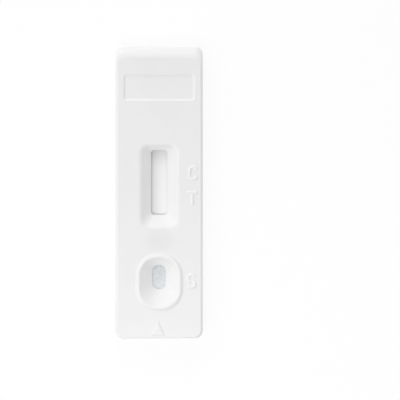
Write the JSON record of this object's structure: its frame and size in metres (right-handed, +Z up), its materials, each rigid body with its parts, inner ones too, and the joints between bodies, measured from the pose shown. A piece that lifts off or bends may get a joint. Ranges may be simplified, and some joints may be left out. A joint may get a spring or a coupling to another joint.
{
  "type": "lateral flow test cassette",
  "caption": "Flat white two-shell cassette holding a paper test strip, with a dished reading window, a rimmed sample well and a sunk label panel.",
  "frame": {"origin": "centre of the underside", "axes": "+X across the cassette, to the right as the letters are read; +Y along it, from the sample well to the label panel; +Z up, out of the reading window"},
  "size_m": [0.0208, 0.0703, 0.0053],
  "materials": {
    "shell_plastic": "satin moulded",
    "card_plastic": "matt",
    "membrane": "matt",
    "glass_fibre_pad": "fibrous",
    "cellulose_pad": "fibrous"
  },
  "bodies": {
    "root": {"top_cover": "shell_plastic", "bottom_base": "shell_plastic", "backing_card": "card_plastic", "membrane": "membrane", "conjugate_pad": "glass_fibre_pad", "sample_pad": "cellulose_pad", "absorbent_pad": "cellulose_pad"}
  },
  "joints": []
}
